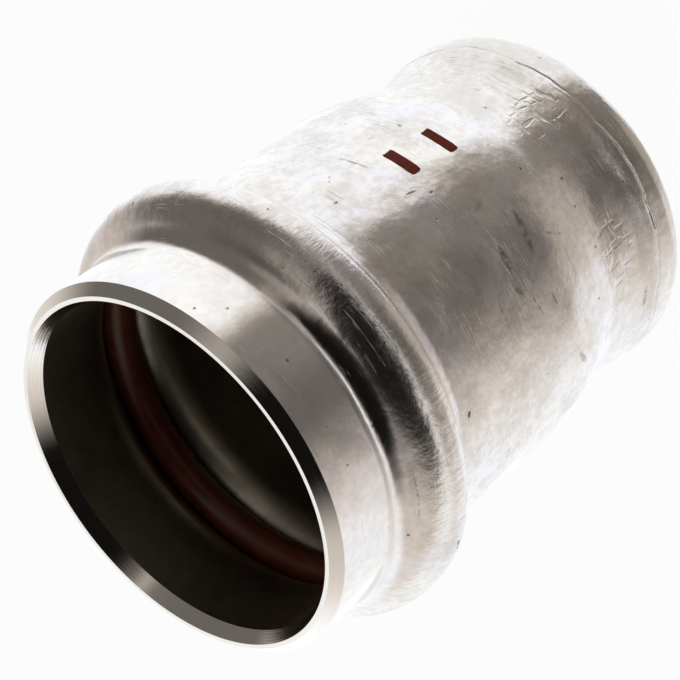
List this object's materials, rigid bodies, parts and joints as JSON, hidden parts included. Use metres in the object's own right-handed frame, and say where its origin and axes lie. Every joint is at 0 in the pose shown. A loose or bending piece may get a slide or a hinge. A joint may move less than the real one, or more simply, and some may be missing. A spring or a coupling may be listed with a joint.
{
  "type": "press fit end cap",
  "caption": "Formed steel press fit cap for a tube end: a round socket with a bevelled mouth, a raised bead that houses a rubber seal ring, and a waisted, closed end.",
  "frame": {"origin": "centre of the flat closed end, which the cap stands on", "axes": "+Z along the axis of the socket, out of its mouth"},
  "size_m": [0.0292, 0.0292, 0.035],
  "materials": {
    "steel": "satin, pickled and lightly polished stainless steel with a machined rim",
    "seal": "smooth moulded rubber"
  },
  "bodies": {
    "root": {"fitting_body": "steel", "seal_ring": "seal"}
  },
  "joints": []
}
